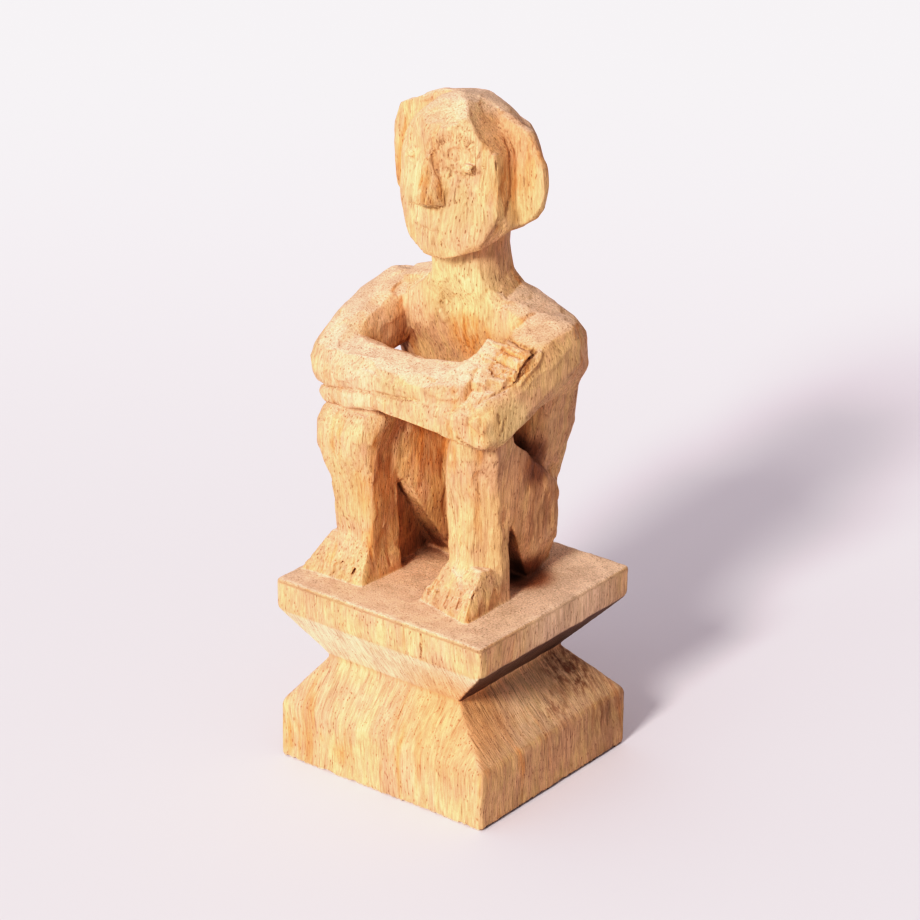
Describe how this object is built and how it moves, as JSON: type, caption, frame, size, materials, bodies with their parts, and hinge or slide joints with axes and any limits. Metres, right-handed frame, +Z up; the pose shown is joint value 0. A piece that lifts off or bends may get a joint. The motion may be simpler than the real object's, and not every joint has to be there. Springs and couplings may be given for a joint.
{
  "type": "rice god figure",
  "caption": "Carved wooden rice god figure, seated with crossed arms on its drawn-up knees, on a square hourglass plinth cut from the same block of wood.",
  "frame": {"origin": "middle of the plinth's square underside, on the surface that the figure stands on", "axes": "+Z up through the waist of the plinth, the figure faces -Y, and its own left side is at +X"},
  "size_m": [0.0769, 0.0732, 0.2074],
  "materials": {
    "pale_wood": "unvarnished pale wood, knife facets and fine open pores left showing, matt to faintly satin"
  },
  "bodies": {
    "root": {"rice_god_figure": "pale_wood"}
  },
  "joints": []
}
